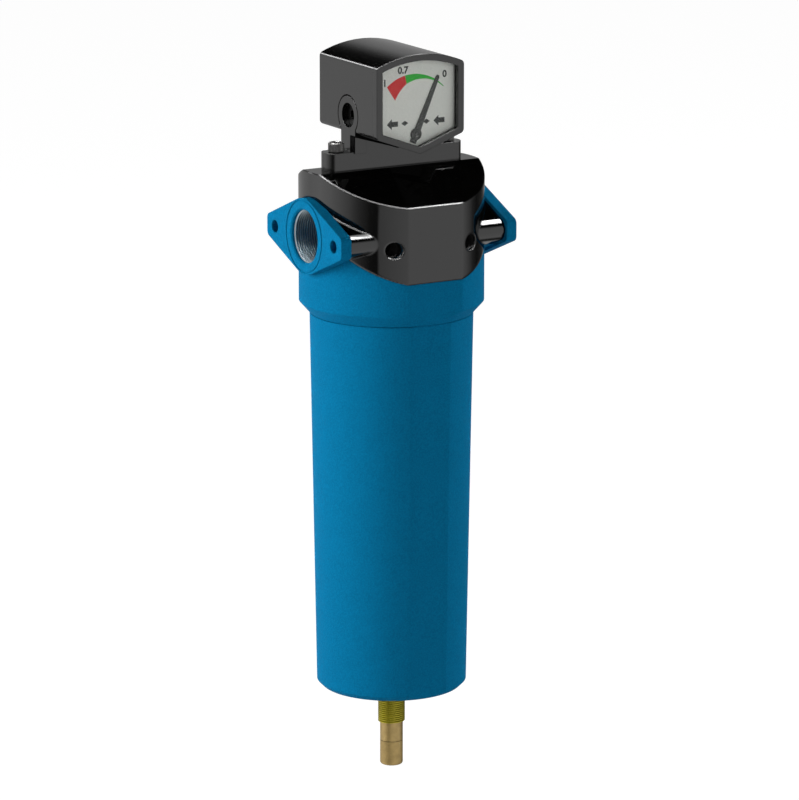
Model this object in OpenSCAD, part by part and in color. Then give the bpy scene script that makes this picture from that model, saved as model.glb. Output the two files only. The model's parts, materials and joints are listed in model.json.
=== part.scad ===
/* [Head] */
// Diameter of the round head and its collar
head_d = 116.4; // [114:0.2:122]
// Distance from the axis to the front and back flats of the head
head_flat = 54.9; // [53.5:0.1:56.5]
// Height of the level top strip above the port axis
top_rise = 40; // [38:0.5:46]
// Half of the level top strip's depth
strip_half = 10.5; // [10:0.5:14]
// Height of the front rim above the port axis, where the sloped top ends
rim_rise = 22.5; // [18:0.5:26]
// Wall of the black cover shell
cover_wall = 2.8; // [2:0.1:3.6]
// Depth of the cover's lower edge below the port axis, on the flats
split_drop = 25.5; // [22:0.5:28]
// Slope of the cover's lower edge towards the ports, in degrees
split_slope = 33.4; // [30:0.2:36]
// Depth of the collar's lower face below the port axis
collar_drop = 53.2; // [52:0.2:58]
// Height of the chamfer at the collar's foot
collar_chamfer = 7.5; // [5:0.5:9]

/* [Ports] */
// Distance between the two port faces
port_span = 125; // [123:0.5:135]
// Radius of the port thread at its root
port_r = 16.65; // [14:0.05:17]
// Depth of the port thread
port_depth = 19; // [16:0.5:22]
// Radius of the flow channels behind the port threads
channel_r = 12.5; // [10:0.5:13]
// Half width of a port flange
flange_half_w = 47.7; // [46:0.1:50]
// Half height of a flange's flat end
flange_half_end = 7.5; // [6.5:0.1:8.5]
// Radius of the flange around the port
flange_centre_r = 24; // [23:0.5:25.5]
// Radius of the flange's outer corners
flange_corner_r = 3.5; // [2:0.5:5]
// Thickness of a port flange
flange_t = 7; // [6:0.5:9]
// Distance between the two bolt holes of a flange
flange_bolts = 75; // [72:0.5:78]
// Radius of the threaded bolt holes in the outlet flange, at their root
outlet_bolt_r = 4; // [3:0.1:4.5]
// Radius of the plain stud holes in the inlet flange
inlet_bolt_r = 4.2; // [3:0.1:4.5]
// Radius of the fine groove around the port
groove_r = 22.6; // [21:0.1:23]
// Half width of the port neck behind a flange
neck_half_w = 45.8; // [44:0.1:46.5]
// Radius of the neck around the port
neck_centre_r = 22.4; // [21:0.1:23]
// Radius of the neck's rounded front and back
neck_end_r = 7.4; // [6:0.1:8]

/* [Wall fixing holes] */
// Distance between the two threaded holes on the front, and on the back
fixing_span = 54; // [50:0.5:56]
// Depth of the threaded holes' centres below the port axis
fixing_drop = 3.5; // [0:0.5:6]
// Radius of the fixing threads at their root
fixing_r = 5; // [4:0.1:5.5]
// Depth of the fixing threads from the flat
fixing_depth = 20; // [14:0.5:22]

/* [Bowl] */
// Length of the bowl from its underside to its shoulder
bowl_len = 242.5; // [236:0.5:300]
// Outer diameter at the shoulder
bowl_top_d = 103; // [102:0.2:103.4]
// Outer diameter at the underside
bowl_foot_d = 95.2; // [94:0.2:97]
// Inner diameter at the mouth
bowl_mouth_d = 90.4; // [89:0.2:91]
// Inner diameter above the floor
bowl_floor_d = 84.8; // [82:0.2:86]
// Thickness of the floor
bowl_floor = 6; // [5:0.5:8]
// Depth that the front and back flats cut into the wall
bowl_flat_cut = 2; // [1.5:0.1:2.4]
// Radius of the bowl's threaded neck
neck_r = 48.9; // [48.4:0.1:49.4]
// Length of the bowl's threaded neck
neck_len = 22; // [20:0.5:24]
// Chamfer around the underside
foot_chamfer = 3; // [2:0.5:4]

/* [Element] */
// Outer radius of the end caps
cap_r = 33; // [32.8:0.1:36]
// Room between the bottom cap and the drain's guide
element_room = 20.4; // [17:0.1:80]
// Number of pleats
pleats = 36; // [24:1:40]
// Inner radius of the pleats
pleat_in_r = 18.2; // [18:0.1:20]
// Outer radius of the pleats
pleat_out_r = 28; // [26:0.1:28]
// Radius of the bore that the element's neck pushes into
seat_r = 14; // [13:0.1:15]
// Depth of that bore
seat_depth = 14; // [13.8:0.2:17]
// Radius of the boss that holds the bore
seat_boss_r = 19; // [17.5:0.5:21]

/* [Drain] */
// Length of the turning knob at the bottom
knob_len = 16; // [12:0.5:20]
// Radius of the knob and of the sleeve above it
knob_r = 7.3; // [6.6:0.1:7.4]
// Length of the smooth sleeve between the knob and the thread
sleeve_len = 12; // [8:0.5:16]
// Length of the thread that shows below the bowl
thread_show = 26.7; // [20:0.1:32]
// Radius of the drain thread at its root
thread_r = 7.475; // [7.4:0.025:7.8]
// Radius of the condensate bore
drain_bore_r = 1.8; // [1.4:0.1:2]
// Radius of the float
float_r = 17; // [14:0.5:20]
// Height of the float
float_h = 28; // [20:1:30]
// Rise of the float between its stops
float_rise = 8; // [5:0.5:9]

/* [Gauge] */
// Half width of the gauge
gauge_half_w = 31; // [30.5:0.1:33]
// Half depth of the gauge
gauge_half_d = 36; // [34:0.5:38]
// Height of the gauge's side holes above the bracket's base plate
gauge_axis_rise = 22.2; // [21.5:0.1:24]
// Height of the straight sides, from the side holes up to the shoulders
gauge_side_up = 34; // [30:0.5:38]
// Height of the curved top above the shoulders
gauge_crown = 6.7; // [5:0.1:8]
// Depth of the side walls below the side holes
gauge_side_down = 10.3; // [9:0.1:11]
// Depth of the V bottom below the side walls
gauge_vee = 11.3; // [9:0.1:11.5]
// Radius of the gauge's corners
gauge_corner_r = 3; // [1.5:0.5:4]
// Wall of the gauge housing
gauge_wall = 3; // [2.4:0.1:3.4]
// Width of the bezel frame
bezel_w = 4.2; // [3.6:0.1:5]
// Depth of the bezel
bezel_d = 4.5; // [4:0.1:6]
// Depth of the dial behind the bezel
dial_recess = 1.6; // [1.6:0.1:3]
// Thickness of the window
window_t = 2; // [1.5:0.1:2.4]
// Radius from the pointer's shaft to its tip
pointer_len = 39; // [34:0.5:40]
// Angle of the pointer at rest, to the right of upright
pointer_rest = 24; // [15:1:30]

/* [Gauge bracket] */
// Distance between the two bracket screws
screw_span = 79; // [77:0.5:84]
// Radius of the base plate's rounded ends
base_end_r = 9.2; // [9:0.1:10]
// Half depth of the base plate
base_half_d = 7.8; // [7:0.1:8.6]
// Thickness of the base plate
base_t = 11.3; // [9:0.1:13]
// Half width of an arm's strap
arm_half_w = 8.8; // [8:0.1:10]
// Radius of an arm's round head
arm_head_r = 12; // [11:0.1:13]
// Thickness of an arm
arm_t = 8; // [7:0.1:9]
// Thickness of the front and back webs
web_t = 4; // [3:0.1:5]
// Radius of the hole in an arm
arm_hole_r = 7.7; // [7:0.1:8.2]
// Radius of the screws' thread
screw_r = 3; // [2.5:0.5:3]
// Radius of the screws' heads
screw_head_r = 5; // [4.6:0.1:5.5]
// Height of the screws' heads
screw_head_h = 6; // [5:0.5:6.5]

/* [Hidden] */
$fn = 96;

// Clearance between pieces that only lie beside each other
gap = 0.3;
// Radial clearance of a running fit
run = 0.06;
// Overlap that makes a cut pass through a face
cut = 1;

// Heights, counted up from the knob's lower end
sleeve_z = knob_len + gap;
thread_z = sleeve_z + sleeve_len;
bowl_z = thread_z + thread_show;
seam_z = bowl_z + bowl_len;
collar_z = seam_z + gap;
port_z = collar_z + collar_drop;
top_z = port_z + top_rise;
neck_top_z = seam_z + neck_len;

// Chamber and seal above the bowl's mouth
o_ring_r = 1.25;
o_ring_lie = 0.05;
o_ring_groove = 1.5;
chamber_z = neck_top_z - o_ring_groove + 2 * (o_ring_r + o_ring_lie);
o_ring_centre = (neck_r + bowl_mouth_d / 2) / 2;

// Element seat and stack
boss_z = collar_z + 7;
cap_t = 6;
cap_rim_t = 1.6;
cap_z = boss_z - gap - cap_t;
neck_push = 13;
neck_bore_r = 10;
ring_r = 1;
ring_heights = [3.5, 8.5];
core_in_r = 16.4;
core_out_r = 17.8;
sleeve_in_r = 28.3;
sleeve_out_r = 29.3;
foam_in_r = 29.6;
foam_out_r = 31;

// Drain stack inside the bowl
boss_h = bowl_floor + 3;
washer_z = bowl_z + boss_h;
washer_t = 1.5;
nut_h = 8;
nut_flats = 22;
nut_top_z = washer_z + washer_t + nut_h;
float_z = nut_top_z + gap;
guide_r = 5;
clip_z = float_z + float_h + float_rise + gap;
clip_t = 1.4;
clip_land = 0.6;
clip_seat_r = guide_r - 1;
guide_tip_z = clip_z + clip_t + clip_land;
shank_r = thread_r - 0.2;
thread_top_z = bowl_z - gap;
float_bore_r = guide_r + 0.1;
float_seal_r = thread_r + 1;
float_seal_h = 2;
spigot_r = 4;
spigot_len = 11;
knob_round = 1.5;
knob_ring_r = 0.7;
knob_ring_z = knob_len + 4.9;

// Element above the drain
foot_cap_z = guide_tip_z + element_room + cap_t;
media_len = cap_z - foot_cap_z;

// Gauge heights
base_top_z = top_z + base_t;
gauge_z = base_top_z + gauge_axis_rise;
hub_z = gauge_z - 10;
gauge_foot_z = gauge_z - gauge_side_down;
vee_z = gauge_foot_z - gauge_vee;
shoulder_z = gauge_z + gauge_side_up;
pocket_gap = 0.9;
pocket_x = gauge_half_w - arm_t - gap;
tube_r = 9.5;
tube_bore_r = 5.2;
tube_half = pocket_x - gap;
housing_front = -gauge_half_d + bezel_d;
dial_y = housing_front + dial_recess;
dial_t = 1.2;
dial_inset = gauge_wall + 0.2;
pointer_t = 1;
pointer_hub_r = 3.7;
shaft_r = 1;
shaft_end_y = -12;
magnet_t = 4;
magnet_r = 5;
piston_len = 14;
side_shoulder_x = gauge_half_w - arm_t + 2;
side_screw_len = 8;
screw_end_x = side_shoulder_x - side_screw_len;
piston_x = screw_end_x - gap - piston_len;
spring_seat = 4;
magnet_seat = 5;
piston_magnet_r = tube_bore_r - 1;
window_lap = 2;
spring_wire = 0.45;
spring_turns = 6;
spring_r = 3.6;

// Outline of a port flange or neck: a round centre drawn out to two ends
module port_outline(centre_r, corner_r, corner_x, corner_y) {
    steps = 6;
    lean = atan2(corner_y, corner_x) + acos((centre_r - corner_r) / norm([corner_x, corner_y]));
    quarter = concat(
        [for (i = [0:steps]) let (a = lean * i / steps) [corner_x, corner_y] + corner_r * [cos(a), sin(a)]],
        [for (i = [0:steps]) let (a = lean + (90 - lean) * i / steps) centre_r * [cos(a), sin(a)]]
    );
    half = concat(quarter, [for (i = [len(quarter) - 2:-1:0]) [-quarter[i][0], quarter[i][1]]]);
    // Without a flat end the outline's end points lie on the axis and come only once
    skip = corner_y > 0 ? 0 : 1;
    polygon(concat(half, [for (i = [len(half) - 1 - skip:-1:skip]) [half[i][0], -half[i][1]]]));
}

// Turns a drawing's first axis to Y and its second to Z, and extrudes it along X
module along_x(length) {
    rotate([90, 0, 90]) linear_extrude(length, center = true) children();
}

// Side view of the head, with its walls moved inwards
module head_profile(inset) {
    slope = atan((top_rise - rim_rise) / (head_flat - strip_half));
    strip_y = strip_half - inset * tan(slope / 2);
    top = top_z - inset;
    rim = port_z + rim_rise + inset * tan(slope) - inset / cos(slope);
    flat = head_flat - inset;
    polygon([
        [-flat, collar_z], [flat, collar_z], [flat, rim],
        [strip_y, top], [-strip_y, top], [-flat, rim]
    ]);
}

// Round head with its necks, flats and sloped top, with its walls moved inwards
module head_form(inset) {
    foot_r = bowl_top_d / 2 - inset;
    wall_r = head_d / 2 - inset;
    intersection() {
        union() {
            translate([0, 0, collar_z]) cylinder(r1 = foot_r, r2 = wall_r, h = collar_chamfer);
            translate([0, 0, collar_z + collar_chamfer])
                cylinder(r = wall_r, h = collar_drop + top_rise);
            translate([0, 0, port_z]) along_x(port_span - 2 * flange_t)
                port_outline(neck_centre_r - inset, neck_end_r - inset, neck_half_w - neck_end_r, 0);
        }
        along_x(port_span) head_profile(inset);
    }
}

// Everything above the cover's lower edge, or below it
module split_side(above, shift) {
    far = head_d;
    edge_z = port_z - split_drop + shift;
    ridge = edge_z + head_flat * tan(split_slope);
    skirt = edge_z - (far - head_flat) * tan(split_slope);
    end = above ? top_z + far : collar_z - far;
    along_x(2 * far) polygon([[-far, skirt], [0, ridge], [far, skirt], [far, end], [-far, end]]);
}

// Both port flanges, with their outline and thickness grown by a clearance
module flange_plates(grow) {
    corner = flange_corner_r;
    for (side = [-1, 1])
        translate([side * (port_span / 2 - flange_t / 2), 0, port_z])
            along_x(flange_t + 2 * grow)
                port_outline(flange_centre_r + grow, corner + grow,
                             flange_half_w - corner, flange_half_end - corner);
}

module fixing_holes(r, depth) {
    for (side = [-1, 1], face = [-1, 1])
        translate([side * fixing_span / 2, face * (head_flat - depth), port_z - fixing_drop])
            rotate([-90 * face, 0, 0]) cylinder(r = r, h = depth + cut);
}

module screw_holes(r, from_z, to_z) {
    for (side = [-1, 1])
        translate([side * screw_span / 2, 0, from_z]) cylinder(r = r, h = to_z - from_z);
}

// Inlet channel into the element, and outlet channel out of the chamber
module flow_channels() {
    riser_r = neck_bore_r + 1;
    outlet_r = 9;
    outlet_x = -31;
    translate([0, 0, port_z]) rotate([0, 90, 0])
        translate([0, 0, -riser_r]) cylinder(r = channel_r, h = port_span / 2 + riser_r);
    translate([0, 0, boss_z]) cylinder(r = riser_r, h = port_z - boss_z);
    translate([-port_span / 2, 0, port_z]) rotate([0, 90, 0])
        cylinder(r = channel_r, h = port_span / 2 + outlet_x + outlet_r);
    translate([outlet_x, 0, chamber_z - cut]) cylinder(r = outlet_r, h = port_z - chamber_z + cut);
}

module head_casting() {
    chamfer = 1;
    groove_w = 0.8;
    groove_depth = 0.5;
    screw_depth = 14;
    bolt_depth = 16;
    color("steelblue") difference() {
        union() {
            head_form(cover_wall + gap);
            intersection() {
                head_form(0);
                split_side(false, -gap);
            }
            flange_plates(0);
        }
        difference() {
            translate([0, 0, collar_z - cut]) cylinder(r = neck_r + run, h = chamber_z - collar_z + cut);
            translate([0, 0, boss_z]) cylinder(r = seat_boss_r, h = chamber_z - boss_z + cut);
        }
        translate([0, 0, boss_z - cut]) cylinder(r = seat_r, h = seat_depth + cut);
        flow_channels();
        for (side = [-1, 1]) translate([side * port_span / 2, 0, port_z]) rotate([0, -90 * side, 0]) {
            translate([0, 0, -cut]) cylinder(r = port_r, h = port_depth + cut);
            translate([0, 0, -0.01]) cylinder(r1 = port_r + chamfer, r2 = port_r, h = chamfer);
            translate([0, 0, -cut]) difference() {
                cylinder(r = groove_r + groove_w / 2, h = groove_depth + cut);
                cylinder(r = groove_r - groove_w / 2, h = groove_depth + cut);
            }
            for (end = [-1, 1]) translate([0, end * flange_bolts / 2, -cut])
                cylinder(r = side > 0 ? inlet_bolt_r : outlet_bolt_r, h = bolt_depth + cut);
        }
        fixing_holes(fixing_r, fixing_depth);
        screw_holes(screw_r + run, top_z - cover_wall - screw_depth, top_z);
    }
}

module head_cover() {
    color("black") difference() {
        intersection() {
            head_form(0);
            split_side(true, 0);
        }
        head_form(cover_wall);
        flange_plates(gap);
        fixing_holes(fixing_r + gap, fixing_depth);
        screw_holes(screw_r + gap, top_z - cover_wall - cut, top_z + cut);
    }
}

// Half section of the bowl, open at its mouth
module bowl_section() {
    foot_r = bowl_foot_d / 2;
    floor_r = bowl_floor_d / 2;
    corner = 8;
    floor_z = bowl_z + bowl_floor;
    rim_chamfer = 0.8;
    boss_r = 15;
    polygon([
        [shank_r + run, bowl_z], [foot_r - foot_chamfer, bowl_z], [foot_r, bowl_z + foot_chamfer],
        [bowl_top_d / 2, seam_z], [neck_r, seam_z],
        [neck_r, neck_top_z - rim_chamfer], [neck_r - rim_chamfer, neck_top_z],
        [bowl_mouth_d / 2, neck_top_z], [bowl_mouth_d / 2, seam_z],
        for (a = [0:-15:-90]) [floor_r - corner + corner * cos(a), floor_z + corner + corner * sin(a)],
        [boss_r, floor_z], [boss_r, bowl_z + boss_h], [shank_r + run, bowl_z + boss_h]
    ]);
}

module bowl() {
    lean = atan((bowl_top_d - bowl_foot_d) / 2 / bowl_len);
    groove_half = o_ring_r + o_ring_lie;
    color("steelblue") difference() {
        rotate_extrude($fn = 128) bowl_section();
        for (face = [0, 180]) rotate([0, 0, face])
            translate([-head_d / 2, bowl_foot_d / 2 - bowl_flat_cut, bowl_z])
                rotate([-lean, 0, 0]) translate([0, 0, -cut])
                    cube([head_d, head_d, bowl_len + 3 * cut]);
        translate([0, 0, neck_top_z - o_ring_groove]) difference() {
            cylinder(r = o_ring_centre + groove_half, h = o_ring_groove + cut);
            translate([0, 0, -cut])
                cylinder(r = o_ring_centre - groove_half, h = o_ring_groove + 3 * cut);
        }
    }
}

module bowl_o_ring() {
    color("dimgray") translate([0, 0, neck_top_z - o_ring_groove + o_ring_r + o_ring_lie])
        rotate_extrude() translate([o_ring_centre, 0]) circle(r = o_ring_r, $fn = 24);
}

// End cap: a disc with a rim that holds the medium
module element_cap(rim) {
    cylinder(r = cap_r, h = cap_t);
    translate([0, 0, rim > 0 ? -rim : cap_t]) difference() {
        cylinder(r = cap_r, h = abs(rim));
        translate([0, 0, -cut]) cylinder(r = cap_r - cap_rim_t, h = abs(rim) + 2 * cut);
    }
}

module element_top_cap() {
    neck = seat_r - run;
    groove_floor = seat_r - 2 * ring_r - 0.15;
    groove_half = ring_r + 0.1;
    color("seagreen") translate([0, 0, cap_z]) difference() {
        union() {
            element_cap(5);
            cylinder(r = neck, h = cap_t + neck_push);
        }
        translate([0, 0, -cut]) cylinder(r = neck_bore_r, h = cap_t + neck_push + 2 * cut);
        for (h = ring_heights) translate([0, 0, cap_t + h - groove_half]) difference() {
            cylinder(r = seat_r + cut, h = 2 * groove_half);
            translate([0, 0, -cut]) cylinder(r = groove_floor, h = 2 * groove_half + 2 * cut);
        }
    }
}

module element_o_rings() {
    color("dimgray") for (h = ring_heights) translate([0, 0, cap_z + cap_t + h])
        rotate_extrude() translate([seat_r - ring_r - 0.05, 0]) circle(r = ring_r, $fn = 24);
}

// Tube with rows of slots through its wall
module slotted_tube(inner, outer, slots, rows) {
    slot_w = 5;
    pitch = media_len / rows;
    difference() {
        cylinder(r = outer, h = media_len);
        translate([0, 0, -cut]) cylinder(r = inner, h = media_len + 2 * cut);
        for (row = [0:rows - 1], turn = [0:slots - 1])
            translate([0, 0, (row + 0.5) * pitch]) rotate([0, 0, turn * 360 / slots])
                translate([0, -slot_w / 2, -pitch * 0.35]) cube([outer + cut, slot_w, pitch * 0.7]);
    }
}

module element_core() {
    color("silver") translate([0, 0, foot_cap_z]) slotted_tube(core_in_r, core_out_r, 6, 5);
}

module element_media() {
    paper = 1;
    color("white") translate([0, 0, foot_cap_z]) linear_extrude(media_len) difference() {
        pleat_star(pleat_in_r + paper, pleat_out_r);
        pleat_star(pleat_in_r, pleat_out_r - paper);
    }
}

// Star whose points are the folds of the pleats
module pleat_star(valley_r, fold_r) {
    polygon([for (i = [0:2 * pleats - 1])
        let (r = i % 2 == 0 ? fold_r : valley_r, a = i * 180 / pleats) r * [cos(a), sin(a)]]);
}

module element_sleeve() {
    color("silver") translate([0, 0, foot_cap_z]) slotted_tube(sleeve_in_r, sleeve_out_r, 8, 5);
}

module element_foam() {
    color("khaki") translate([0, 0, foot_cap_z]) difference() {
        cylinder(r = foam_out_r, h = media_len);
        translate([0, 0, -cut]) cylinder(r = foam_in_r, h = media_len + 2 * cut);
    }
}

module element_bottom_cap() {
    color("seagreen") translate([0, 0, foot_cap_z - cap_t]) element_cap(-5);
}

module drain_body() {
    chamfer = 0.8;
    valve_top = thread_z + 2;
    color("goldenrod") difference() {
        union() {
            translate([0, 0, sleeve_z]) cylinder(r = knob_r, h = sleeve_len + chamfer);
            translate([0, 0, thread_z]) cylinder(r1 = thread_r - chamfer, r2 = thread_r, h = chamfer);
            translate([0, 0, thread_z + chamfer])
                cylinder(r = thread_r, h = thread_top_z - thread_z - chamfer);
            translate([0, 0, thread_top_z]) cylinder(r = shank_r, h = nut_top_z - thread_top_z);
            translate([0, 0, nut_top_z]) cylinder(r = guide_r, h = guide_tip_z - nut_top_z);
        }
        translate([0, 0, sleeve_z - cut]) cylinder(r = spigot_r + run, h = valve_top - sleeve_z + cut);
        translate([0, 0, valve_top]) cylinder(r = drain_bore_r, h = guide_tip_z - valve_top + cut);
        translate([0, 0, clip_z]) difference() {
            cylinder(r = guide_r + cut, h = clip_t);
            translate([0, 0, -cut]) cylinder(r = clip_seat_r, h = clip_t + 2 * cut);
        }
    }
}

module drain_washer() {
    color("dimgray") translate([0, 0, washer_z]) difference() {
        cylinder(r = nut_flats / 2 + 0.5, h = washer_t);
        translate([0, 0, -cut]) cylinder(r = shank_r + run, h = washer_t + 2 * cut);
    }
}

module drain_nut() {
    color("goldenrod") translate([0, 0, washer_z + washer_t]) difference() {
        cylinder(r = nut_flats / 2 / cos(30), h = nut_h, $fn = 6);
        translate([0, 0, -cut]) cylinder(r = shank_r + run, h = nut_h + 2 * cut);
    }
}

module drain_float() {
    rounding = 3;
    color("ivory") translate([0, 0, float_z]) rotate_extrude() polygon([
        [float_bore_r, float_seal_h], [float_seal_r, float_seal_h], [float_seal_r, 0],
        [float_r - rounding, 0], [float_r, rounding], [float_r, float_h - rounding],
        [float_r - rounding, float_h], [float_bore_r, float_h]
    ]);
}

module float_seal() {
    color("dimgray") translate([0, 0, float_z]) difference() {
        cylinder(r = float_seal_r, h = float_seal_h);
        translate([0, 0, -cut]) cylinder(r = float_bore_r, h = float_seal_h + 2 * cut);
    }
}

module float_clip() {
    clip_reach = 3;
    clip_mouth = 3;
    color("silver") translate([0, 0, clip_z]) difference() {
        cylinder(r = guide_r + clip_reach, h = clip_t);
        translate([0, 0, -cut]) cylinder(r = clip_seat_r + run, h = clip_t + 2 * cut);
        translate([-clip_mouth / 2, 0, -cut])
            cube([clip_mouth, guide_r + clip_reach + cut, clip_t + 2 * cut]);
    }
}

module drain_knob() {
    groove_floor = spigot_r - 2 * knob_ring_r - 0.1;
    groove_from = knob_ring_z - knob_ring_r - 0.2;
    groove_to = knob_ring_z + knob_ring_r + 0.2;
    color("peru") rotate_extrude() polygon([
        [drain_bore_r, 0], [knob_r - knob_round, 0],
        for (a = [-75:15:0])
            [knob_r - knob_round + knob_round * cos(a), knob_round + knob_round * sin(a)],
        [knob_r, knob_len], [spigot_r, knob_len], [spigot_r, groove_from],
        [groove_floor, groove_from], [groove_floor, groove_to], [spigot_r, groove_to],
        [spigot_r, knob_len + spigot_len], [drain_bore_r, knob_len + spigot_len]
    ]);
}

module drain_o_ring() {
    color("dimgray") translate([0, 0, knob_ring_z]) rotate_extrude($fn = 48)
        translate([spigot_r + 0.02 - knob_ring_r, 0]) circle(r = knob_ring_r, $fn = 20);
}

module gauge_bracket() {
    color("black") difference() {
        union() {
            intersection() {
                translate([0, 0, top_z]) linear_extrude(base_t) {
                    square([screw_span, 2 * base_end_r], center = true);
                    for (side = [-1, 1]) translate([side * screw_span / 2, 0]) circle(r = base_end_r);
                }
                translate([0, 0, top_z + base_t / 2])
                    cube([2 * screw_span, 2 * base_half_d, 2 * base_t], center = true);
            }
            for (side = [-1, 1]) translate([side * (gauge_half_w - arm_t / 2), 0, 0])
                along_x(arm_t) arm_outline(0, base_top_z - cut);
            bracket_webs();
        }
        screw_holes(screw_r + gap, top_z - cut, base_top_z + cut);
        for (side = [-1, 1]) translate([0, 0, gauge_z]) rotate([0, 90 * side, 0]) {
            cylinder(r = tube_bore_r + run, h = gauge_half_w + cut);
            translate([0, 0, side_shoulder_x]) cylinder(r = arm_hole_r, h = arm_t);
        }
    }
}

// Strap and round head of an arm, in side view
module arm_outline(grow, from_z) {
    translate([0, gauge_z]) circle(r = arm_head_r + grow);
    translate([-arm_half_w - grow, from_z]) square([2 * (arm_half_w + grow), gauge_z - from_z]);
}

// Webs at the front and back that close the space under the gauge
module bracket_webs() {
    web_gap = 0.6;
    edge = gauge_half_w;
    for (face = [-1, 1]) translate([0, face * (base_half_d - web_t / 2), 0]) rotate([90, 0, 0])
        linear_extrude(web_t, center = true) polygon([
            [-edge, base_top_z - cut], [edge, base_top_z - cut],
            [edge, gauge_foot_z - web_gap], [0, vee_z - web_gap], [-edge, gauge_foot_z - web_gap]
        ]);
}

module bracket_screws() {
    grip = 10;
    socket_r = screw_head_r / 2;
    color("dimgray") for (side = [-1, 1]) translate([side * screw_span / 2, 0, 0]) difference() {
        union() {
            translate([0, 0, base_top_z]) cylinder(r = screw_head_r, h = screw_head_h);
            translate([0, 0, top_z - cover_wall - grip])
                cylinder(r = screw_r, h = base_t + cover_wall + grip + cut);
        }
        translate([0, 0, base_top_z + screw_head_h / 2])
            cylinder(r = socket_r / cos(30), h = screw_head_h, $fn = 6);
    }
}

module gauge_side_screws() {
    head_t = 2.2;
    socket_depth = 1.8;
    vent_r = 1.5;
    color("black") for (side = [-1, 1]) translate([0, 0, gauge_z]) rotate([0, 90 * side, 0]) difference() {
        union() {
            translate([0, 0, side_shoulder_x]) cylinder(r = arm_hole_r - 0.2, h = head_t);
            translate([0, 0, screw_end_x]) cylinder(r = tube_bore_r - run, h = side_screw_len + cut);
        }
        translate([0, 0, screw_end_x - cut]) cylinder(r = vent_r, h = side_screw_len + 2 * cut);
        translate([0, 0, side_shoulder_x + head_t - socket_depth]) cylinder(r = 3.5, h = head_t, $fn = 6);
    }
}

// Rounds each corner of a closed outline with an arc of six points
function rounded(points, radius) = [
    for (i = [0:len(points) - 1])
        let (
            here = points[i],
            before = points[(i + len(points) - 1) % len(points)] - here,
            after = points[(i + 1) % len(points)] - here,
            u = before / norm(before),
            v = after / norm(after),
            half = acos(u * v) / 2,
            away = (u + v) / norm(u + v),
            centre = here + away * radius / sin(half),
            from = here + u * radius / tan(half) - centre,
            to = here + v * radius / tan(half) - centre
        )
        if (180 - 2 * half < 12) here
        else each [for (t = [0:5]) let (d = from * (5 - t) + to * t) centre + d / norm(d) * radius]
];

// Front view of the gauge: straight sides, a curved top and a V bottom
function gauge_points(inset) =
    let (
        w = gauge_half_w - inset,
        vee = atan(gauge_vee / gauge_half_w),
        lift = inset / cos(vee),
        top_r = (gauge_half_w * gauge_half_w + gauge_crown * gauge_crown) / 2 / gauge_crown,
        centre_z = shoulder_z + gauge_crown - top_r,
        sweep = asin(w / (top_r - inset))
    )
    concat(
        [[0, vee_z + lift], [w, vee_z + lift + w * tan(vee)]],
        [for (i = [-6:6]) let (a = -i * sweep / 6) [0, centre_z] + (top_r - inset) * [sin(a), cos(a)]],
        [[-w, vee_z + lift + w * tan(vee)]]
    );

// The gauge's front view extruded from one depth to another
module gauge_block(inset, from_y, to_y) {
    corner = max(gauge_corner_r - inset / 2, 0.8);
    translate([0, to_y, 0]) rotate([90, 0, 0])
        linear_extrude(to_y - from_y) polygon(rounded(gauge_points(inset), corner));
}

module gauge_housing() {
    ledge = 1.6;
    back = gauge_half_d;
    color("black") difference() {
        union() {
            difference() {
                gauge_block(0, housing_front, back);
                gauge_block(gauge_wall, housing_front - cut, dial_y + dial_t);
                gauge_block(gauge_wall + ledge, housing_front, back - gauge_wall);
            }
            intersection() {
                gauge_block(gauge_wall / 2, housing_front + 2 * gauge_wall, back - gauge_wall / 2);
                for (side = [-1, 1]) translate([side * (gauge_half_w - arm_t / 2 - gauge_wall / 2), 0, 0])
                    along_x(arm_t + gauge_wall) arm_outline(pocket_gap + gauge_wall, vee_z);
            }
        }
        for (side = [-1, 1]) translate([side * (pocket_x + arm_t / 2 + cut), 0, 0])
            along_x(arm_t + 2 * cut) arm_outline(pocket_gap, vee_z - cut);
        translate([0, 0, gauge_z]) rotate([0, 90, 0])
            cylinder(r = tube_r + run, h = 2 * gauge_half_w, center = true);
    }
}

module gauge_bezel() {
    color("black") difference() {
        gauge_block(0, -gauge_half_d, housing_front);
        gauge_block(bezel_w, -gauge_half_d - cut, housing_front + cut);
        gauge_block(bezel_w - window_lap - 0.1, housing_front - window_t, housing_front + cut);
    }
}

module gauge_window() {
    color("lightcyan", 0.35) gauge_block(bezel_w - window_lap, housing_front - window_t, housing_front);
}

module gauge_dial() {
    color("lightgray") difference() {
        gauge_block(dial_inset, dial_y, dial_y + dial_t);
        translate([0, dial_y - cut, hub_z]) rotate([-90, 0, 0]) cylinder(r = 3 + gap / 2, h = 5);
    }
}

module gauge_pointer() {
    root_w = 4.6;
    tip_w = 1.2;
    tail = 5.6;
    front = dial_y - gap - pointer_t;
    color("dimgray") translate([0, front + pointer_t, hub_z]) rotate([90, pointer_rest, 0]) difference() {
        union() {
            cylinder(r = pointer_hub_r, h = pointer_t);
            linear_extrude(pointer_t * 0.6) polygon([
                [-root_w / 2, -tail], [root_w / 2, -tail], [root_w / 2, 0],
                [tip_w / 2, pointer_len], [-tip_w / 2, pointer_len], [-root_w / 2, 0]
            ]);
        }
        translate([0, 0, -cut]) cylinder(r = shaft_r, h = pointer_t + 2 * cut);
    }
}

module pointer_shaft() {
    front = dial_y - gap - pointer_t;
    color("silver") translate([0, front, hub_z]) rotate([-90, 0, 0])
        cylinder(r = shaft_r, h = shaft_end_y - front);
}

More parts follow.
